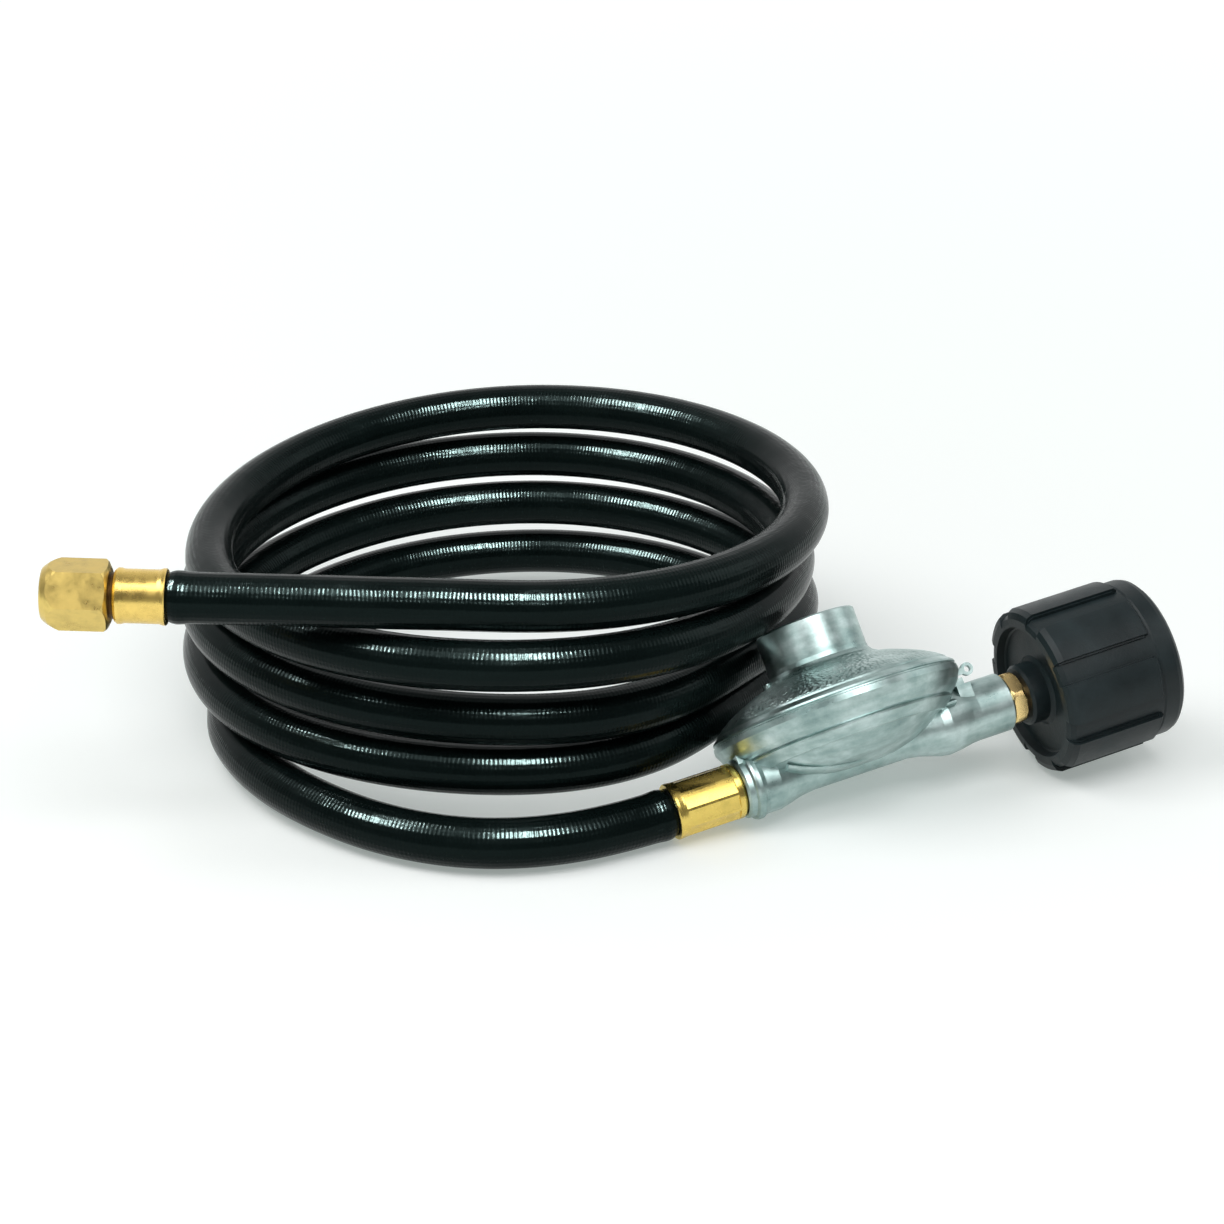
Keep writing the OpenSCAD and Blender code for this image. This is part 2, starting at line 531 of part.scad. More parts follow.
// smooth curve through four neighbours
function smooth(a, b, c, d, t) = 0.5 * (2 * b + (c - a) * t + (2 * a - 5 * b + 4 * c - d) * t * t
    + (3 * b - 3 * c + d - a) * t * t * t);
function near(list, i) = i < 0 ? 2 * list[0] - list[1] :
    i > len(list) - 1 ? 2 * list[len(list) - 1] - list[len(list) - 2] : list[i];
function at(list, u) = let (i = min(floor(u), len(list) - 2), t = u - i)
    smooth(near(list, i - 1), near(list, i), near(list, i + 1), near(list, i + 2), t);
// point of the coil at angle q travelled from its start
function coil_at(q) = let (a = q - 112.5, turn = min(3, floor((q + 130) / 360)),
        w = pow(max(0, cos(a + 54)), 8), r = at(coil_r, q / 90) - tuck[turn] * w)
    [coil_mid[0] + r * cos(a), coil_mid[1] + r * sin(a), at(coil_z, q / 90)];
coil_q = 90 * (len(coil_z) - 1);
top_way = unit([-0.924, 0.383, 0.034]);
low_way = unit([-0.26, -0.965, 0.0]);
coil_path = concat([coil_at(0) + hose_od * top_way],
    [for (i = [0 : coil_q / 360 * per_turn]) coil_at(i * 360 / per_turn)],
    [coil_at(coil_q) + hose_od * low_way]);
module hose_coil() color("#1c1e20") tube(coil_path, hose_od / 2 * 1.0996, 6);

// least gap between turns, measured from centre to centre
coil_gap = min([for (i = [0 : len(coil_path) - 1], j = [i + 6 : 1 : len(coil_path) - 1])
    norm(coil_path[i] - coil_path[j])]) - hose_od;
echo(coil_gap = coil_gap);
function run_length(p) = len(p) < 2 ? 0 :
    [for (i = 1, s = norm(p[1] - p[0]); i < len(p); i = i + 1,
        s = s + (i < len(p) ? norm(p[i] - p[i - 1]) : 0)) s][len(p) - 2];

// Regulator axis in the room, and the hose-side face of its ferrule
axis = [cos(reg_pitch), 0, sin(reg_pitch)];
mouth = [reg_x, reg_y, reg_z] - outlet_ferrule_len * axis;
coil_top = coil_path[0];
coil_low = coil_path[len(coil_path) - 1];

// Free run from the coil's bottom, across the floor, to the regulator
outlet_path = concat([coil_low, coil_low + 10 * low_way],
    [[-194.5, 101, 8], [-195, 86, 8], [-193.5, 71, 8], [-189, 54, 8], [-182, 38, 8],
    [-173, 23, 8], [-161.5, 10, 8], [-148, 0, 8], [-133, -6, 8], [-118, -8.6, 8],
    [-105, -8.4, 8]], [mouth - 8 * axis, mouth]);
module hose_outlet_run() color("#1c1e20") tube(outlet_path, hose_od / 2 * 1.0236, 12);

// Free run from the coil's top to the flare fitting
fitting_path = [coil_top, coil_top + 8 * top_way, [-165, 24.2, 81], [-187, 33.3, 81.8],
    fit_from - 16 * fit_dir, fit_from];
module hose_fitting_run() color("#1c1e20") tube(fitting_path, hose_od / 2 * 1.0236, 12);
echo(hose_length = run_length(coil_path) + run_length(outlet_path) + run_length(fitting_path)
    + outlet_ferrule_len + fitting_ferrule_len);

// least gaps between the free runs and the coil, away from where they join
function least(a, b) = min([for (p = a, q = b) norm(p - q)]) - hose_od;
function part_of(p, a, b) = [for (i = [a : b]) p[i]];
echo(outlet_gap = least(part_of(outlet_path, 4, len(outlet_path) - 1),
    part_of(coil_path, 0, len(coil_path) - 4)));
echo(fitting_gap = least(part_of(fitting_path, 2, len(fitting_path) - 1),
    part_of(coil_path, 3, len(coil_path) - 1)));

// End of the hose inside the far ferrule
module fitting_grip() color("#222425") fit() along()
    ring(hose_od / 2 - 0.75, stem_r, fitting_ferrule_len - 2.4);

module fitting_ferrule() color("#d8ab3c") fit() along(fitting_ferrule_len)
    ferrule(fitting_ferrule_d / 2, fitting_ferrule_len, 0.4);

// Hose stem with the shoulder that the flare nut turns on
neck_out = 6.1;
module flare_stem() color("#cda24a") fit() along() difference() {
    rotate_extrude() polygon([[2.9, 0.6], [stem_r - 0.5, 0.6], [stem_r - 0.35, 1.6],
        [stem_r - 0.05, 4.4], [stem_r - 0.35, 4.5], [stem_r - 0.05, 8.4], [stem_r - 0.35, 8.5],
        [stem_r - 0.05, 12.4], [stem_r - 0.35, 12.5], [stem_r - 0.35, fitting_ferrule_len - 2.2],
        [stem_r + 0.6, fitting_ferrule_len - 2.2], [stem_r + 0.6, fitting_ferrule_len + 0.2],
        [neck_out + 0.9, fitting_ferrule_len + 0.2], [neck_out + 0.9, nut_from - 0.6],
        [neck_out, nut_from - 0.4], [neck_out, nut_from + 4.6], [6.9, nut_from + 4.6],
        [6.9, nut_from + 6.2], [3.4, nut_from + 9.7], [2.9, nut_from + 9.7]]);
    translate([0, 0, -1]) cylinder(r = 2.4, h = 3);
}

// Flare nut: chamfered hexagon with a domed mouth, inside thread, back hole round the neck
corner = nut_af / cos(30) / 2;
module swivel_nut() color("#d4a640") fit() along(nut_from) difference() {
    intersection() {
        rotate(30) cylinder(r = corner, h = nut_len, $fn = 6);
        rotate_extrude() polygon([[0, 0], [corner - 2.6, 0], [corner - 0.7, 0.9],
            [corner + 0.1, 1.8], [corner + 0.1, nut_len - 5.4], [corner - 0.5, nut_len - 3.9],
            [corner - 1.5, nut_len - 2], [corner - 2.5, nut_len - 0.6], [corner - 3.1, nut_len],
            [0, nut_len]]);
    }
    translate([0, 0, -1]) cylinder(r = neck_out + run, h = 30);
    // room for the stem's cone, then the thread
    translate([0, 0, 4.5]) cylinder(r = 7.6, h = 5.4);
    translate([0, 0, 9.8]) cylinder(r = 7.15, h = 30);
    for (h = [10.9 : 1.41 : nut_len - 1.4])
        translate([0, 0, h]) rotate_extrude() polygon([[6.9, -0.62], [7.15, -0.5], [7.85, -0.1],
            [7.85, 0.1], [7.15, 0.5], [6.9, 0.62]]);
    translate([0, 0, nut_len - 0.4]) cylinder(r1 = 7.15, r2 = 7.6, h = 0.41);
}

regulator_body();
bonnet();
vent_screen();
closing_cap();
adjusting_screw();
main_spring();
diaphragm();
diaphragm_plate();
diaphragm_post();
lever();
lever_pin();
seat_holder();
seat_disc();
inlet_orifice();
inlet_filter();
inlet_nipple();
nipple_o_ring();
limiter_poppet();
limiter_spring();
nose_plug();
thermal_bushing();
handwheel();
outlet_stem();
outlet_ferrule();
outlet_grip();
hose_outlet_run();
hose_coil();
hose_fitting_run();
fitting_grip();
fitting_ferrule();
flare_stem();
swivel_nut();
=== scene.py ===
# %% [markdown]
# # A gas regulator with its coiled hose, dressed in Blender
#
# The object is a low-pressure gas regulator. A die-cast body lies on its side,
# a ribbed hand nut joins it to a cylinder, and a rubber hose runs from its
# outlet round a loose coil and ends in a brass flare nut. The rigid parts come
# from the packed model and only get materials here. The hose is made in this
# file, because a soft tube looks right only as one smooth piece.

# %% Load the packed model
import math

import bpy
import numpy as np
from mathutils import Euler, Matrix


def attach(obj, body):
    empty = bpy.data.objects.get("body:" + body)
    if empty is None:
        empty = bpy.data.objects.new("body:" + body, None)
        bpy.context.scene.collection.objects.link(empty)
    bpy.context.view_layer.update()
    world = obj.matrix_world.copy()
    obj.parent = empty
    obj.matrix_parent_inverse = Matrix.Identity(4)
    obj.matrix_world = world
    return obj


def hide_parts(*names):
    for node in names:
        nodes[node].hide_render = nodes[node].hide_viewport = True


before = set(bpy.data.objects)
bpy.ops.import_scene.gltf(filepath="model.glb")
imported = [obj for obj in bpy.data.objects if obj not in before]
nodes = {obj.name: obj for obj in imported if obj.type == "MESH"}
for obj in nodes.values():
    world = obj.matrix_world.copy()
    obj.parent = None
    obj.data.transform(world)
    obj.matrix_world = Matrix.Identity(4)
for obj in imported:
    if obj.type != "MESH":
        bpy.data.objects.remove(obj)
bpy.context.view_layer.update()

# %% [markdown]
# ## The camera
#
# The view is that of a long lens from a low stand: the camera looks down by
# 24.6 degrees and is turned 22.5 degrees, so that the pipe of the regulator
# runs away from the eye. Placing the camera first fixes the frame for the rest.

# %% Camera
CAMERA_AT = (-0.4127, -0.7511, 0.4494)
LOOKS_DOWN, TURNED_BY = 24.6, 22.5  # degrees
SENSOR_MM, LENS_MM = 36.0, 87.65

camera_data = bpy.data.cameras.new("camera")
camera_data.sensor_width = SENSOR_MM
camera_data.lens = LENS_MM
camera_data.clip_start = 0.01
camera = bpy.data.objects.new("camera", camera_data)
camera.location = CAMERA_AT
camera.rotation_euler = (math.radians(90.0 - LOOKS_DOWN), 0.0, math.radians(-TURNED_BY))
bpy.context.scene.collection.objects.link(camera)
bpy.context.scene.camera = camera
print("camera at", CAMERA_AT, "lens", LENS_MM, "mm")

# %% [markdown]
# ## The hose's route
#
# A hose keeps the set of its reel, so it lies in nearly round turns that sink
# onto each other. A plain helix would be quicker, but it looks like a spring.
# So the route is worked out as the source of the rigid parts does it: stations
# with a height and a reach each, and a smooth curve through them. A Catmull-Rom
# curve is used, because it passes through its stations and needs no handles.
# Everything is in millimetres until the mesh is made.

# %% Smooth curves
def unit(v):
    """The vector divided by its length."""
    v = np.asarray(v, float)
    return v / np.linalg.norm(v)


def through(stations, u):
    """Catmull-Rom: on each span the cubic that passes through both stations,
    with the slope there half the step between the two neighbours."""
    s = np.asarray(stations, float)
    s = np.concatenate([[2 * s[0] - s[1]], s, [2 * s[-1] - s[-2]]])
    i = np.clip(np.floor(u).astype(int), 0, len(stations) - 2)
    t = (u - i).reshape((-1,) + (1,) * (s.ndim - 1))
    a, b, c, d = s[i], s[i + 1], s[i + 2], s[i + 3]
    return 0.5 * (2 * b + (c - a) * t + (2 * a - 5 * b + 4 * c - d) * t**2
                  + (3 * b - 3 * c + d - a) * t**3)


def distance_along(points):
    """For each point of a line, the length of the line up to it."""
    return np.concatenate([[0], np.cumsum(np.linalg.norm(np.diff(points, axis=0), axis=1))])


def evenly(points, step):
    """The same line with its points one step apart along it."""
    along = distance_along(points)
    count = int(round(along[-1] / step)) + 1
    want = np.linspace(0, along[-1], count)
    return np.stack([np.interp(want, along, points[:, k]) for k in range(3)], -1)


print("a quarter and half way up a step:", through([0, 0, 1, 1], np.array([1.25, 1.5])))

# %% [markdown]
# ### The coil
#
# Nearly four turns, with sixteen stations, four to a turn, listed from the top.
# Beside the regulator's spring tower the lower turns are tucked in to leave it
# room. The tuck is a cosine raised to a high power: a bump on one side of each
# turn that fades out smoothly.

# %% The coil
HOSE_OD = 15.9
COIL_Z = [80, 73.5, 70, 61, 63.5, 55, 51, 44.5, 41.5, 34, 33, 25, 23.5, 18, 13, 8]
COIL_R = [98, 97.5, 97, 98.5, 105, 94, 99.5, 102, 97, 98.5, 97, 102, 95.5, 94, 98.5, 95.5]
COIL_MID = (-96.2, 101.7)
STATION_STEP = 90.0  # degrees from one station to the next
POINT_STEP = 3.75  # degrees from one point of the route to the next
START_BEFORE_X = 112.5  # degrees from the coil's top to the X axis
TUCK = np.array([0, 2, 12, 11.2])  # for each turn, from the top
TUCK_AT = math.radians(-54)
TURN_COUNTED_FROM = 130  # degrees before the top, on the side away from the tower
TUCK_POWER = 8


def coil_points(q):
    """A point for each angle q, in degrees, travelled from the coil's top: it
    lies at the reach of the stations, less the tuck beside the tower."""
    a = np.radians(q - START_BEFORE_X)
    turn = np.floor((q + TURN_COUNTED_FROM) / 360)
    turn = np.minimum(len(TUCK) - 1, turn).astype(int)
    beside = np.maximum(0, np.cos(a - TUCK_AT)) ** TUCK_POWER
    r = through(COIL_R, q / STATION_STEP) - TUCK[turn] * beside
    z = through(COIL_Z, q / STATION_STEP)
    return np.stack([COIL_MID[0] + r * np.cos(a), COIL_MID[1] + r * np.sin(a), z], -1)


travelled = np.arange(0, STATION_STEP * (len(COIL_Z) - 1) + 0.01, POINT_STEP)
coil = coil_points(travelled)
print("coil:", len(coil), "points, lowest", round(coil[:, 2].min(), 2), "mm")

# %% [markdown]
# ### The free runs
#
# Two free runs join the coil to the regulator's outlet and to the flare fitting.
# Each leaves the coil along its tangent. The lower one lies on the floor and
# rises a little into the outlet, and the upper one rests on the top turn. Their
# ends follow from the two fittings, so the hose meets both without a gap.

# %% The free runs and the whole route
PITCH = math.radians(8.0)  # the regulator's pipe rises by this from the outlet
WHEEL_D, WHEEL_LOW = 54.9, 107.0  # the hand nut's width, and how far along it touches the floor
OUTLET_FERRULE = 22.9
LIE_Z = 8.0  # height of the hose's middle where it lies on the floor
FLOOR_RUN = [(-194.5, 101), (-195, 86), (-193.5, 71), (-189, 54), (-182, 38), (-173, 23),
             (-161.5, 10), (-148, 0), (-133, -6), (-118, -8.6), (-105, -8.4)]
LEAD = 8  # the hose stays straight for about this far at each end of a run
SPAN_POINTS = 12
ROUTE_STEP = 3.0
ROUNDINGS = 6

top_way = unit([-0.924, 0.383, 0.034])
low_way = unit([-0.26, -0.965, 0.0])
pipe_axis = np.array([math.cos(PITCH), 0, math.sin(PITCH)])
regulator_at = np.array([-62.3, -7.1,
                         WHEEL_D / 2 * math.cos(PITCH) - WHEEL_LOW * math.sin(PITCH)])
mouth = regulator_at - OUTLET_FERRULE * pipe_axis
fit_from = np.array([-225.0, 49.0, 83.0])
fit_way = unit([-0.9237, 0.3815, 0.0333])
low = coil[-1] + HOSE_OD * low_way
top = coil[0] + HOSE_OD * top_way
outlet_run = np.array([coil[-1], coil[-1] + LEAD * low_way, low, low + 10 * low_way,
                       *[(x, y, LIE_Z) for x, y in FLOOR_RUN],
                       mouth - LEAD * pipe_axis, mouth])
fitting_run = np.array([coil[0], coil[0] + LEAD * top_way, top, top + LEAD * top_way,
                        [-165, 24.2, 81], [-187, 33.3, 81.8],
                        fit_from - 2 * LEAD * fit_way, fit_from])


def dense(stations):
    """A run's stations joined by the smooth curve, SPAN_POINTS to a span."""
    spans = len(stations) - 1
    return through(stations, np.linspace(0, spans, SPAN_POINTS * spans + 1))


route = np.concatenate([dense(outlet_run)[::-1][:-1], coil[::-1][:-1], dense(fitting_run)])
route = evenly(route, ROUTE_STEP)
for _ in range(ROUNDINGS):
    # a light smoothing rounds the joins of the three stretches; the ends stay put
    route[2:-2] = 0.5 * route[2:-2] + 0.25 * (route[1:-3] + route[3:-1])
hose_length = float(distance_along(route)[-1])
print("route:", len(route), "points,", round(hose_length), "mm, lowest middle",
      round(route[:, 2].min(), 2))

# %% [markdown]
# ## The hose
#
# The hose is a round rubber tube that was wrapped in cloth tape while it cured,
# which leaves a fine woven print on it. A curve with a bevel would give the
# tube, but not a radius that changes along it. So the tube's section, a circle,
# is carried along the route. The radius swells a little just outside each
# ferrule, where the crimp pushes the rubber out. The print is far finer than the
# rings, so it is left to the material's bump.

# %% Rings along the route
HOSE_R = HOSE_OD / 2
HOSE_SIDES = 40
SLACK = 0.06  # keeps the skin inside the solid that it stands for
SWELL, SWELL_AT, SWELL_WIDE = 0.30, 3.5, 2.2
DIP, DIP_WIDE = 0.55, 1.3
WANDER = 0.05
END_POINTS, END_STEP = 14, 0.8  # points of the route at each end that get finer rings


def hose_radius(s, a):
    """At distance s and angle a: the radius less a dip at each ferrule's mouth,
    plus a swelling after it, both bell curves, and a slow wander round it."""
    end = np.minimum(s, hose_length - s)
    swell = SWELL * np.exp(-((end - SWELL_AT) / SWELL_WIDE) ** 2)
    dip = -DIP * np.exp(-(end / DIP_WIDE) ** 2)
    wander = WANDER * np.sin(s * 0.021 + np.cos(a)) * np.sin(a * 2 + s * 0.004)
    return HOSE_R - SLACK + swell + dip + wander


def carry(path, radius_at, sides):
    """Rings along a path, and their UV map, both in metres. At each point there
    are two directions square to the path, one of them level; a ring's point is
    the path's point plus the radius times their cosine and sine mix. The map
    holds the distance along and the arc round."""
    way = np.gradient(path, axis=0)
    way[0], way[-1] = path[1] - path[0], path[-1] - path[-2]
    way /= np.linalg.norm(way, axis=1)[:, None]
    level = np.cross([0, 0, 1.0], way)
    level /= np.linalg.norm(level, axis=1)[:, None]
    up = np.cross(way, level)
    along = distance_along(path)
    a = 2 * np.pi * np.arange(sides + 1) / sides
    radius = radius_at(along[:, None], a[None, :])
    ring = (path[:, None] + radius[..., None] * (np.cos(a)[None, :, None] * level[:, None]
                                                 + np.sin(a)[None, :, None] * up[:, None]))
    uv = np.stack(np.broadcast_arrays(along[:, None], a[None, :] * HOSE_R), -1) / 1000
    return ring[:, :-1] / 1000, uv


hose_path = np.concatenate([evenly(route[:END_POINTS], END_STEP)[:-1],
                            route[END_POINTS - 1:-END_POINTS],
                            evenly(route[-END_POINTS:], END_STEP)])
rings, ring_uv = carry(hose_path, hose_radius, HOSE_SIDES)
print("hose rings:", len(rings), "of", HOSE_SIDES, "sides")

# %% [markdown]
# ### From rings to a mesh
#
# The rings are a grid of points: one parameter runs along the piece and one runs
# round it. Joining each point with its neighbours gives the quads, and the last
# column joins the first, so the tube has no open seam. The UV map keeps one
# column more, or the print would be squeezed backwards into the last strip. The
# mesh stands for the three solids of the hose.

# %% Hose mesh
def grid_piece(name, points, uv, close_round=True):
    """Joins a grid of (rows, columns, 3) points with quads and links the piece
    at the origin. Each quad is a point, the next one round, and the same two a
    row farther. The last column joins the first where close_round is set."""
    rows, cols = points.shape[:2]
    row, col = np.meshgrid(np.arange(rows - 1), np.arange(cols if close_round else cols - 1),
                           indexing="ij")
    here, beside = row * cols + col, row * cols + (col + 1) % cols
    quads = np.stack([here, beside, beside + cols, here + cols], -1)
    mesh = bpy.data.meshes.new(name)
    mesh.from_pydata(points.reshape(-1, 3), [], quads.reshape(-1, 4).tolist())
    corners = [uv[row, col], uv[row, col + 1], uv[row + 1, col + 1], uv[row + 1, col]]
    layer = mesh.uv_layers.new(name="UVMap")
    layer.data.foreach_set("uv", np.stack(corners, 2).reshape(-1))
    mesh.polygons.foreach_set("use_smooth", np.ones(len(mesh.polygons), bool))
    mesh.update()
    piece = bpy.data.objects.new(name, mesh)
    bpy.context.scene.collection.objects.link(piece)
    return piece


hose = grid_piece("hose", rings, ring_uv)
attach(hose, "regulator")
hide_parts("hose_outlet_run", "hose_coil", "hose_fitting_run")
print("hose faces:", len(hose.data.polygons))

# %% [markdown]
# ## Finishes
#
# Each finish is a Principled shader with a small node graph. A picture wrapped
# round a piece would need its own unwrapping; worked-out patterns need none. The
# graphs read the object's own coordinates, so a grain stays where it is on the
# piece from every side. A Mapping node set to Texture turns those coordinates
# into the regulator's own: X along the pipe, Z up the spring tower, origin in
# the outlet. The fitting at the hose's end has such a frame too.

# %% Node graphs
class Graph:
    """Short calls for the nodes of one node tree."""

    def __init__(self, tree):
        self.tree = tree

    def node(self, kind, **fields):
        """A new node; fields are its properties."""
        n = self.tree.nodes.new(kind)
        for key, value in fields.items():
            setattr(n, key, value)
        return n

    def link(self, source, target):
        """Joins an output to an input; a number is written instead."""
        if hasattr(source, "is_output"):
            self.tree.links.new(source, target)
        else:
            target.default_value = source

    def math(self, operation, a, b=0.0):
        """One Math node; returns its output."""
        n = self.node("ShaderNodeMath", operation=operation)
        self.link(a, n.inputs[0])
        self.link(b, n.inputs[1])
        return n.outputs[0]

    def fit(self, value, low, high, to_low, to_high):
        """A value's range laid on another, held at the ends."""
        n = self.node("ShaderNodeMapRange", clamp=True)
        self.link(value, n.inputs["Value"])
        for key, end in (("From Min", low), ("From Max", high),
                         ("To Min", to_low), ("To Max", to_high)):
            self.link(end, n.inputs[key])
        return n.outputs[0]

    def split(self, vector):
        """The three numbers of a vector."""
        n = self.node("ShaderNodeSeparateXYZ")
        self.link(vector, n.inputs[0])
        return tuple(n.outputs)

    def rays(self):
        """1 for the eye's own rays, and 1 for those of a shine or of glass."""
        path = self.node("ShaderNodeLightPath").outputs
        return (path["Is Camera Ray"],
                self.math("MAXIMUM", path["Is Glossy Ray"], path["Is Transmission Ray"]))

    def place(self, location=(0, 0, 0), turn=(0, 0, 0), stretch=(1, 1, 1)):
        """Object coordinates seen from a frame at that place and turn."""
        coord = self.node("ShaderNodeTexCoord")
        mapping = self.node("ShaderNodeMapping", vector_type="TEXTURE")
        self.link(coord.outputs["Object"], mapping.inputs["Vector"])
        mapping.inputs["Location"].default_value = location
        mapping.inputs["Rotation"].default_value = turn
        mapping.inputs["Scale"].default_value = stretch
        return mapping.outputs[0]

    def noise(self, vector, cells, detail, rough=0.5):
        """Noise from 0 to 1 with that many cells to a metre."""
        n = self.node("ShaderNodeTexNoise")
        self.link(vector, n.inputs["Vector"])
        for key, value in (("Scale", cells), ("Detail", detail), ("Roughness", rough)):
            n.inputs[key].default_value = value
        return n.outputs[0]


print("calls of a graph:", [name for name in vars(Graph) if not name.startswith("_")])

# %% [markdown]
# A finish adds the Principled shader to such a graph. Its sockets keep plain
# numbers of their own, so the material also reads well where a graph doesn't.
# A bump is added to the ones before it, so fine grain and wide dents can each
# have their own depth.

# %% Finishes and their frames
class Finish(Graph):
    """A material with a Principled shader, whose sockets the graph drives."""

    def __init__(self, name, color, roughness, metallic=0.0, **sockets):
        self.material = bpy.data.materials.new(name)
        self.material.use_nodes = True
        super().__init__(self.material.node_tree)
        self.bsdf = self.tree.nodes["Principled BSDF"]
        self.set("Base Color", (*color, 1.0))
        self.set("Roughness", roughness)
        self.set("Metallic", metallic)
        for key, value in sockets.items():
            self.set(key.replace("_", " "), value)

    def set(self, socket, value):
        """Gives the shader's own socket a number or colour."""
        self.bsdf.inputs[socket].default_value = value

    def drive(self, source, socket):
        """Lets a graph's output set one of the shader's sockets."""
        self.link(source, self.bsdf.inputs[socket])

    def ramp(self, value, stops):
        """Colours between positions: stops are (position, colour)."""
        n = self.node("ShaderNodeValToRGB")
        elements = n.color_ramp.elements
        while len(elements) < len(stops):
            elements.new(0.5)
        for element, (position, tone) in zip(elements, stops):
            element.position = position
            element.color = (*tone, 1.0)
        self.link(value, n.inputs[0])
        return n.outputs[0]

    def bump(self, height, depth):
        """Adds a height to the shader's bumps; depth is in metres."""
        n = self.node("ShaderNodeBump")
        n.inputs["Strength"].default_value = 1.0
        n.inputs["Distance"].default_value = depth
        self.link(height, n.inputs["Height"])
        normal = self.bsdf.inputs["Normal"]
        if normal.is_linked:
            self.link(normal.links[0].from_socket, n.inputs["Normal"])
        self.link(n.outputs[0], normal)


def shade(tone, factor):
    """The tone made darker or lighter, but never more than white."""
    return tuple(min(1.0, factor * c) for c in tone)


ROLL = math.radians(37.0)  # the tower leans this far back about the pipe
REGULATOR = dict(location=tuple(regulator_at / 1000), turn=(-ROLL, -PITCH, 0.0))
FITTING = dict(location=tuple(fit_from / 1000),
               turn=(0.0, -math.asin(fit_way[2]), math.atan2(fit_way[1], fit_way[0])))
print("regulator frame at", [round(v, 4) for v in REGULATOR["location"]])
print("fitting frame at", [round(v, 4) for v in FITTING["location"]])

# %% [markdown]
# ### Hose rubber
#
# Nearly black rubber with a soft shine. The cloth print is two waves that cross
# on the slant, multiplied as the threads of a weave are, stronger in some
# patches than in others, with small noise over it, so that highlights fall into
# short dashes. It reads the UV map, because only that follows the hose round its
# bends. Wide noise makes the shine uneven, as handling does.

# %% Hose rubber
PRINT_ALONG, PRINT_ROUND = 0.0026, 0.0036  # metres from one thread to the next
PRINT_DEPTH, HOSE_DENT_DEPTH = 0.000046, 0.0003
PRINT_DRIFT = 6.0  # how far, in radians, wide noise shifts the print


def hose_rubber():
    """The print's height is sin(along + round) times sin(along - round)."""
    g = Finish("hose_rubber", (0.003, 0.0043, 0.0042), 0.3, Specular_IOR_Level=0.09,
               Specular_Tint=(0.70, 1.0, 0.97, 1.0))
    uv = g.node("ShaderNodeUVMap", uv_map="UVMap").outputs[0]
    along, arc, _ = g.split(uv)
    broad = g.noise(uv, cells=60, detail=2)
    drift = g.math("MULTIPLY", broad, PRINT_DRIFT)
    along = g.math("ADD", g.math("MULTIPLY", along, 2 * math.pi / PRINT_ALONG), drift)
    arc = g.math("MULTIPLY", arc, 2 * math.pi / PRINT_ROUND)
    warp = g.math("SINE", g.math("ADD", along, arc))
    weft = g.math("SINE", g.math("SUBTRACT", along, arc))
    patchy = g.fit(g.noise(uv, cells=320, detail=2), 0.35, 0.65, 0.35, 1.0)
    cloth = g.math("MULTIPLY", g.math("MULTIPLY", warp, weft), patchy)
    g.bump(g.math("ADD", cloth, g.noise(uv, cells=1000, detail=3)), PRINT_DEPTH)
    g.bump(broad, HOSE_DENT_DEPTH)
    g.drive(g.fit(broad, 0.35, 0.7, 0.15, 0.24), "Roughness")
    g.drive(g.ramp(g.noise(uv, cells=25, detail=3), [(0.3, (0.0018, 0.0040, 0.0038)),
                                                     (0.7, (0.0036, 0.0074, 0.0070))]),
            "Base Color")
    return g.material


hose.data.materials.append(hose_rubber())
print("hose finish:", hose.data.materials[0].name)

# %% [markdown]
# ### Zinc casting
#
# A cast and tumbled zinc has a satin, slightly blue skin. Long soft streaks and
# finer mottling change its tone and its gloss, and a fine grain breaks up the
# highlights. The dome of the bonnet is cast with a pebbled skin: the heights of
# scattered round cells, masked by the distance from the tower's axis and by the
# height above the flange, so the tower and the flange stay smooth.

# %% Zinc
TOWER_X = 0.0398  # metres along the pipe to the tower's axis
DOME_INNER = (0.0172, 0.0184)  # distances from that axis over which the skin comes in
DOME_OUTER = (0.0383, 0.0374)  # and goes out
DOME_ABOVE = (0.0176, 0.0184)  # heights over which it comes in
PEBBLES, PEBBLE_DEPTH = 1000, 0.0006
STREAKED = (3.0, 1.0, 0.5)
GRAIN_DEPTH, ZINC_DENT_DEPTH = 0.000026, 0.00025


def dome_skin(g, local):
    """Pebble heights on the dome and 0 elsewhere: one less the distance to the
    nearest seed, times three masks."""
    x, y, z = g.split(local)
    x = g.math("SUBTRACT", x, TOWER_X)
    far = g.math("SQRT", g.math("ADD", g.math("MULTIPLY", x, x), g.math("MULTIPLY", y, y)))
    on_dome = g.math("MULTIPLY", g.fit(far, *DOME_INNER, 0, 1), g.fit(far, *DOME_OUTER, 0, 1))
    on_dome = g.math("MULTIPLY", on_dome, g.fit(z, *DOME_ABOVE, 0, 1))
    seeds = g.node("ShaderNodeTexVoronoi", feature="SMOOTH_F1")
    g.link(local, seeds.inputs["Vector"])
    seeds.inputs["Scale"].default_value = PEBBLES
    lumps = g.math("SUBTRACT", 1.0, seeds.outputs["Distance"])
    return g.math("MULTIPLY", lumps, on_dome)


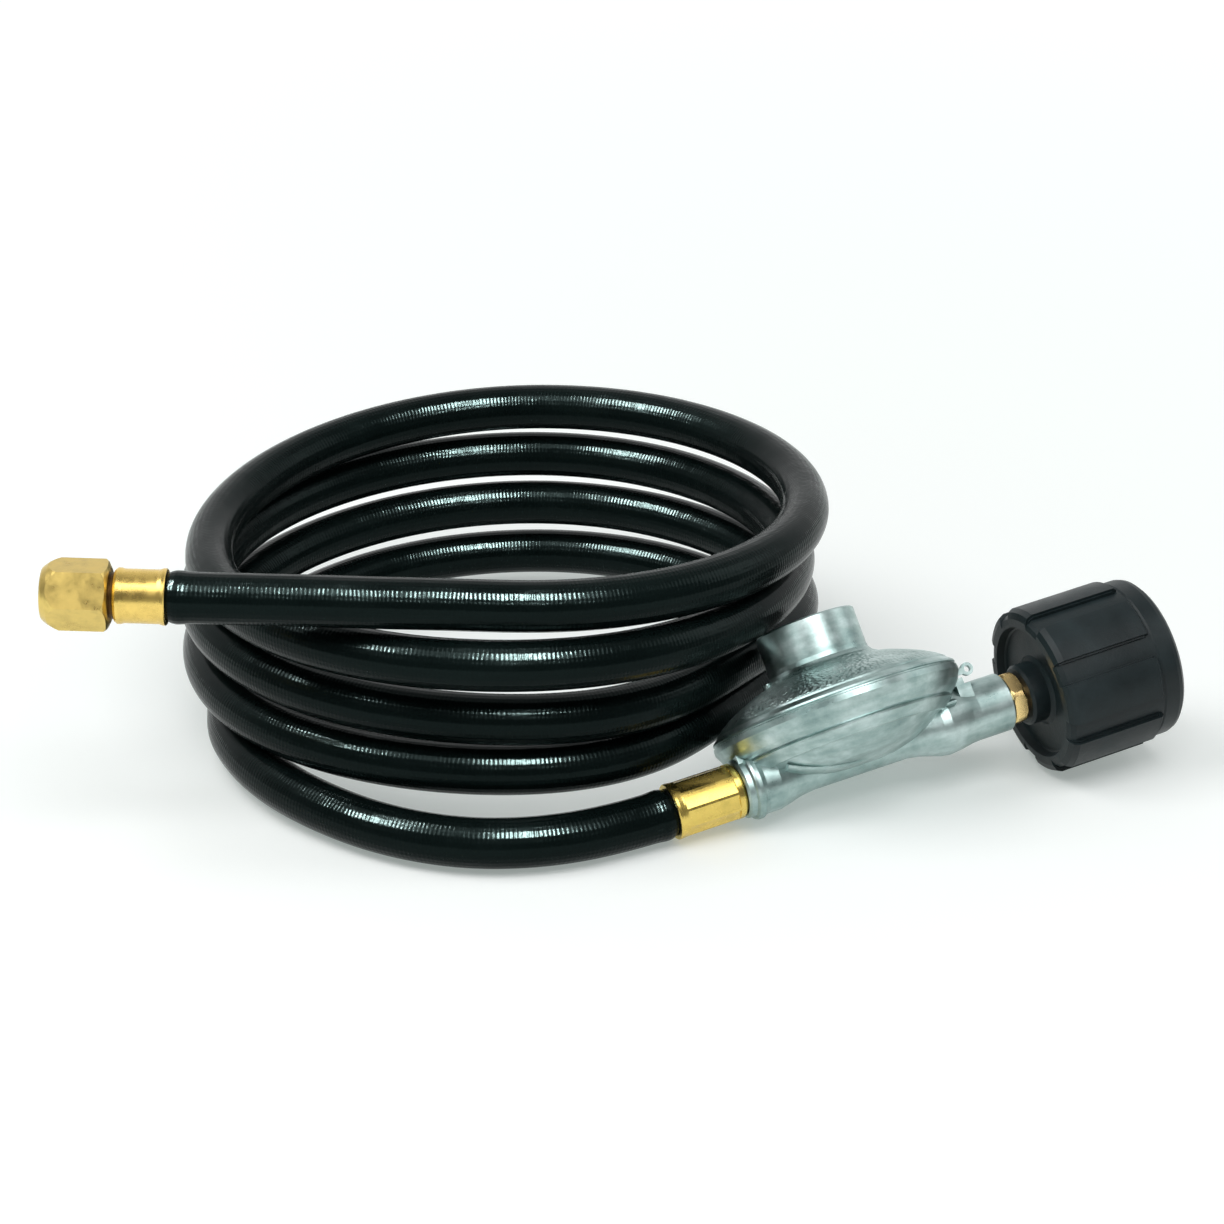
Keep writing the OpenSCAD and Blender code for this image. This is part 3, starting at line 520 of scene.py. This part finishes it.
def zinc(name, pebbles=False):
    """Satin zinc, streaked along the pipe; pebbles adds the dome's skin."""
    g = Finish(name, (0.33, 0.38, 0.385), 0.33, 1.0)
    local = g.place(**REGULATOR)
    mottle = g.noise(local, cells=90, detail=5, rough=0.6)
    grain = g.noise(local, cells=1500, detail=3, rough=0.6)
    streak = g.noise(g.place(**REGULATOR, stretch=STREAKED), cells=160, detail=4)
    tone = g.math("ADD", g.math("MULTIPLY", mottle, 0.6), g.math("MULTIPLY", streak, 0.4))
    g.drive(g.ramp(tone, [(0.34, (0.20, 0.295, 0.285)), (0.5, (0.355, 0.465, 0.450)),
                          (0.64, (0.56, 0.67, 0.66))]), "Base Color")
    g.drive(g.fit(g.math("ADD", mottle, grain), 0.7, 1.3, 0.27, 0.42), "Roughness")
    g.bump(grain, GRAIN_DEPTH)
    g.bump(g.noise(local, cells=90, detail=1), ZINC_DENT_DEPTH)
    if pebbles:
        g.bump(dome_skin(g, local), PEBBLE_DEPTH)
    return g.material


finishes = {"regulator_body": zinc("zinc_body"), "bonnet": zinc("zinc_bonnet", pebbles=True)}
print("zinc:", sorted(finishes))

# %% [markdown]
# ### Brass
#
# Turned brass keeps fine rings from the lathe, and a drawn ferrule has long
# faint lines instead. Both are one noise, squeezed or drawn out along the
# piece's axis, in the frame of the regulator or of the fitting. Handling leaves
# duller patches. The stem shows only in the gap behind the flare nut, and its
# brass is painted near black and dull: painted shade for that gap.

# %% Brass
TURNED, DRAWN = (0.3, 1.0, 1.0), (8.0, 1.0, 1.0)
LINE_DEPTH, PATCH_DEPTH = 0.000006, 0.00001


def brass(name, tone, at, stretch=TURNED, roughness=(0.16, 0.30)):
    """Brass in the frame at; stretch draws its lines out along X."""
    g = Finish(name, tone, 0.22, 1.0)
    local = g.place(**at)
    lines = g.noise(g.place(**at, stretch=stretch), cells=2600, detail=2)
    patches = g.noise(local, cells=220, detail=4, rough=0.6)
    g.drive(g.ramp(patches, [(0.30, shade(tone, 0.82)), (0.52, tone),
                             (0.74, shade(tone, 1.08))]), "Base Color")
    g.drive(g.fit(patches, 0.3, 0.7, *roughness), "Roughness")
    g.bump(lines, LINE_DEPTH)
    g.bump(g.noise(local, cells=220, detail=1), PATCH_DEPTH)
    return g.material


finishes["outlet_ferrule"] = brass("ferrule_brass", (0.78, 0.58, 0.15), REGULATOR,
                                   stretch=DRAWN, roughness=(0.20, 0.34))
finishes["fitting_ferrule"] = brass("fitting_brass", (0.84, 0.60, 0.17), FITTING,
                                    stretch=DRAWN, roughness=(0.22, 0.36))
finishes["swivel_nut"] = brass("nut_brass", (0.70, 0.52, 0.16), FITTING,
                               roughness=(0.26, 0.38))
# painted shade: the stem's brass is near black to stand for the shadow in the gap behind the
# flare nut
finishes["flare_stem"] = brass("shade_painted_brass", (0.10, 0.055, 0.02), FITTING,
                               roughness=(0.4, 0.6))
turned_brass = brass("turned_brass", (0.92, 0.68, 0.30), REGULATOR)
for name in ("adjusting_screw", "diaphragm_post", "seat_holder", "inlet_orifice",
             "inlet_filter", "inlet_nipple", "limiter_poppet", "nose_plug", "outlet_stem"):
    finishes[name] = turned_brass
print("zinc and brass on", len(finishes), "nodes")

# %% [markdown]
# ### Plastic and rubber
#
# The hand nut is a glass-filled plastic: black, satin, with a fine moulded
# grain and a few paler rubs, which also dull the shine where they lie. The
# bushing, the cap and the rubber seals are the same recipe in other tones.

# %% Plastic and rubber
MOULD_DEPTH, RUB_DEPTH = 0.00005, 0.00025


def plastic(name, tone, roughness):
    """A moulded skin: fine grain, and wide rubs that are paler and duller."""
    g = Finish(name, tone, roughness, Specular_IOR_Level=0.25)
    local = g.place()
    rubs = g.noise(local, cells=70, detail=4, rough=0.55)
    g.drive(g.ramp(rubs, [(0.35, shade(tone, 0.75)), (0.55, tone), (0.78, shade(tone, 1.5))]),
            "Base Color")
    g.drive(g.fit(rubs, 0.3, 0.7, roughness - 0.07, roughness + 0.09), "Roughness")
    g.bump(g.noise(local, cells=1800, detail=3, rough=0.6), MOULD_DEPTH)
    g.bump(rubs, RUB_DEPTH)
    return g.material


finishes["handwheel"] = plastic("grip_plastic", (0.0105, 0.0185, 0.0205), 0.40)
finishes["thermal_bushing"] = plastic("bushing_plastic", (0.012, 0.012, 0.013), 0.45)
finishes["closing_cap"] = plastic("cap_plastic", (0.02, 0.02, 0.021), 0.4)
seal = plastic("seal_rubber", (0.02, 0.019, 0.018), 0.55)
for name in ("diaphragm", "seat_disc", "nipple_o_ring", "outlet_grip", "fitting_grip"):
    finishes[name] = seal
print("with plastic and rubber on", len(finishes), "nodes")

# %% [markdown]
# ### Steel
#
# The springs, the plate, the lever and the vent's screen are plain steel with
# faint drawn lines. All but the small screen lie inside and are seen only when
# the part is taken apart, so one finish does for all. Then each node gets its
# finish.

# %% Steel, and every node's finish
SCRATCHED = (1.0, 0.05, 1.0)
SCRATCH_DEPTH = 0.00002


def steel(name, tone, roughness):
    """Grey steel with lines across Y and wide duller patches."""
    g = Finish(name, tone, roughness, 1.0)
    lines = g.noise(g.place(stretch=SCRATCHED), cells=1500, detail=2)
    patches = g.noise(g.place(), cells=300, detail=3)
    g.drive(g.ramp(patches, [(0.3, shade(tone, 0.75)), (0.7, tone)]), "Base Color")
    g.drive(g.fit(patches, 0.3, 0.7, roughness - 0.06, roughness + 0.08), "Roughness")
    g.bump(lines, SCRATCH_DEPTH)
    return g.material


spring_steel = steel("spring_steel", (0.62, 0.63, 0.64), 0.28)
for name in ("vent_screen", "main_spring", "diaphragm_plate", "lever", "lever_pin",
             "limiter_spring"):
    finishes[name] = spring_steel
for name, finish in finishes.items():
    slots = nodes[name].data.materials
    slots.clear()
    slots.append(finish)
print("finishes on", len(finishes), "nodes")

# %% [markdown]
# ## The floor
#
# A white floor that meets a white world, as on a studio sweep. More light would
# whiten it, but it would bleach the object too. So the floor glows a little, and
# more the farther it lies from the object, for what the eye sees directly or in
# a shine. It stays white out to the horizon and keeps the object's shadow, and
# the glow gives no light to the object.

# %% Floor
FLOOR_DROP = 0.0008  # metres below the hose, so that the two never share a face
GLOW_FROM, GLOW_TO = 0.12, 1.6  # distances over which the glow grows
GLOW_NEAR, GLOW_FAR = 0.31, 0.90
OBJECT_MIDDLE = (-0.05, 0.05, 0.0)

floor_points = np.array([[[-6.0, -6.0, 0.0], [6.0, -6.0, 0.0]],
                         [[-6.0, 9.0, 0.0], [6.0, 9.0, 0.0]]])
floor = grid_piece("floor", floor_points, np.zeros((2, 2, 2)), close_round=False)
floor.location.z = -FLOOR_DROP

g = Finish("floor_white", (0.74, 0.74, 0.74), 0.9, Specular_IOR_Level=0.0)
away = g.node("ShaderNodeVectorMath", operation="LENGTH")
g.link(g.place(OBJECT_MIDDLE), away.inputs[0])
glow = g.node("ShaderNodeEmission")
glow.inputs["Color"].default_value = (0.90, 1.0, 0.96, 1.0)
g.link(g.fit(away.outputs["Value"], GLOW_FROM, GLOW_TO, GLOW_NEAR, GLOW_FAR),
       glow.inputs["Strength"])
lit = g.node("ShaderNodeAddShader")
g.link(g.bsdf.outputs[0], lit.inputs[0])
g.link(glow.outputs[0], lit.inputs[1])
pick = g.node("ShaderNodeMixShader")
g.link(g.math("MAXIMUM", *g.rays()), pick.inputs[0])
g.link(g.bsdf.outputs[0], pick.inputs[1])
g.link(lit.outputs[0], pick.inputs[2])
g.link(pick.outputs[0], g.tree.nodes["Material Output"].inputs["Surface"])
floor.data.materials.append(g.material)
print("floor:", floor_points[0, 0], "to", floor_points[1, 1])

# %% [markdown]
# ## The world
#
# The world is white to the eye. For everything else it is bright behind the
# object and dim in front of it, which draws the pale rims on the rubber and
# leaves its front black. The share of each comes from how far a direction points
# along the way from the camera into the room.

# %% World
INTO_ROOM = tuple(unit([0.36, 0.87, -0.30]))
FACING = (-0.25, 0.75)  # the share of that direction over which dim turns bright
DIM, DIM_MIRRORED = 0.13, 0.22
BRIGHT, BRIGHT_MIRRORED = 0.50, 1.0

world = bpy.data.worlds.new("world")
bpy.context.scene.world = world
world.use_nodes = True
air = Graph(world.node_tree)
background = air.tree.nodes["Background"]
background.inputs["Color"].default_value = (1.0, 1.0, 1.0, 1.0)
facing = air.node("ShaderNodeVectorMath", operation="DOT_PRODUCT")
air.link(air.node("ShaderNodeTexCoord").outputs["Generated"], facing.inputs[0])
facing.inputs[1].default_value = INTO_ROOM
by_eye, mirrored = air.rays()
room = air.fit(facing.outputs["Value"], *FACING,
               air.fit(mirrored, 0, 1, DIM, DIM_MIRRORED),
               air.fit(mirrored, 0, 1, BRIGHT, BRIGHT_MIRRORED))
level = air.node("ShaderNodeMix")
air.link(by_eye, level.inputs[0])
air.link(room, level.inputs[2])
air.link(1.0, level.inputs[3])
air.link(level.outputs[0], background.inputs["Strength"])
bpy.context.scene.view_settings.view_transform = "Standard"
print("world nodes:", len(world.node_tree.nodes))

# %% [markdown]
# ## The lamps
#
# Three soft boxes give the light. Black rubber shows hardly anything but what it
# mirrors, so two tall strips are added for the hose alone, as a product
# photographer would hold them. Each lies along the arc on which the highlight
# keeps its place on the turn and only grows wider, which is why one leans. Two
# cards do the same for the castings, the nuts and the nipple. Strips and cards
# are linked to their pieces and leave all else as it is.

# %% Soft boxes, strips and cards
MIDDLE = np.array([-0.06, 0.06, 0.04])
rubber_parts = bpy.data.collections.new("rubber_parts")
rubber_parts.objects.link(hose)
cast_parts = bpy.data.collections.new("cast_parts")
for name in ("bonnet", "regulator_body", "inlet_nipple", "swivel_nut", "handwheel"):
    cast_parts.objects.link(nodes[name])


def soft_box(name, azimuth, elevation, distance, size, power, glint=None, lean=0):
    """A rectangular lamp that faces the object from that side, in degrees as the
    eye's azimuth and elevation count, turned by lean in its own plane. A glint
    shows only in what shines in its collection."""
    a, e = math.radians(azimuth), math.radians(elevation)
    way = np.array([math.sin(a) * math.cos(e), -math.cos(a) * math.cos(e), math.sin(e)])
    lamp = bpy.data.lights.new(name, "AREA")
    lamp.shape = "RECTANGLE"
    lamp.size, lamp.size_y = size
    lamp.energy = power
    holder = bpy.data.objects.new(name, lamp)
    holder.location = MIDDLE + distance * way
    facing_in = Euler((math.pi / 2 - e, 0.0, a), "XYZ").to_matrix()
    leaning = Euler((0.0, 0.0, math.radians(lean))).to_matrix()
    holder.rotation_euler = (facing_in @ leaning).to_euler()
    if glint:
        holder.visible_diffuse = False
        holder.light_linking.receiver_collection = glint
    bpy.context.scene.collection.objects.link(holder)


soft_box("box_left", azimuth=-95, elevation=54, distance=1.5, size=(1.0, 0.8), power=10.5)
soft_box("box_front", azimuth=-9, elevation=60, distance=1.5, size=(1.0, 0.8), power=10.5)
soft_box("box_right", azimuth=75, elevation=35, distance=2.2, size=(1.2, 1.2), power=6.5)
soft_box("glint_left", azimuth=-104, elevation=52, distance=1.4, size=(0.15, 0.72),
         power=108, glint=rubber_parts, lean=44)
soft_box("glint_front", azimuth=-9, elevation=62, distance=1.4, size=(0.17, 0.72),
         power=122, glint=rubber_parts, lean=-8)
soft_box("card_front", azimuth=2, elevation=38, distance=1.8, size=(0.8, 0.9),
         power=6.5, glint=cast_parts)
soft_box("card_left", azimuth=-64, elevation=36, distance=1.8, size=(0.7, 0.9),
         power=5.5, glint=cast_parts)
print("lamps:", sorted(lamp.name for lamp in bpy.data.lights))

# %% [markdown]
# ## Close the scene
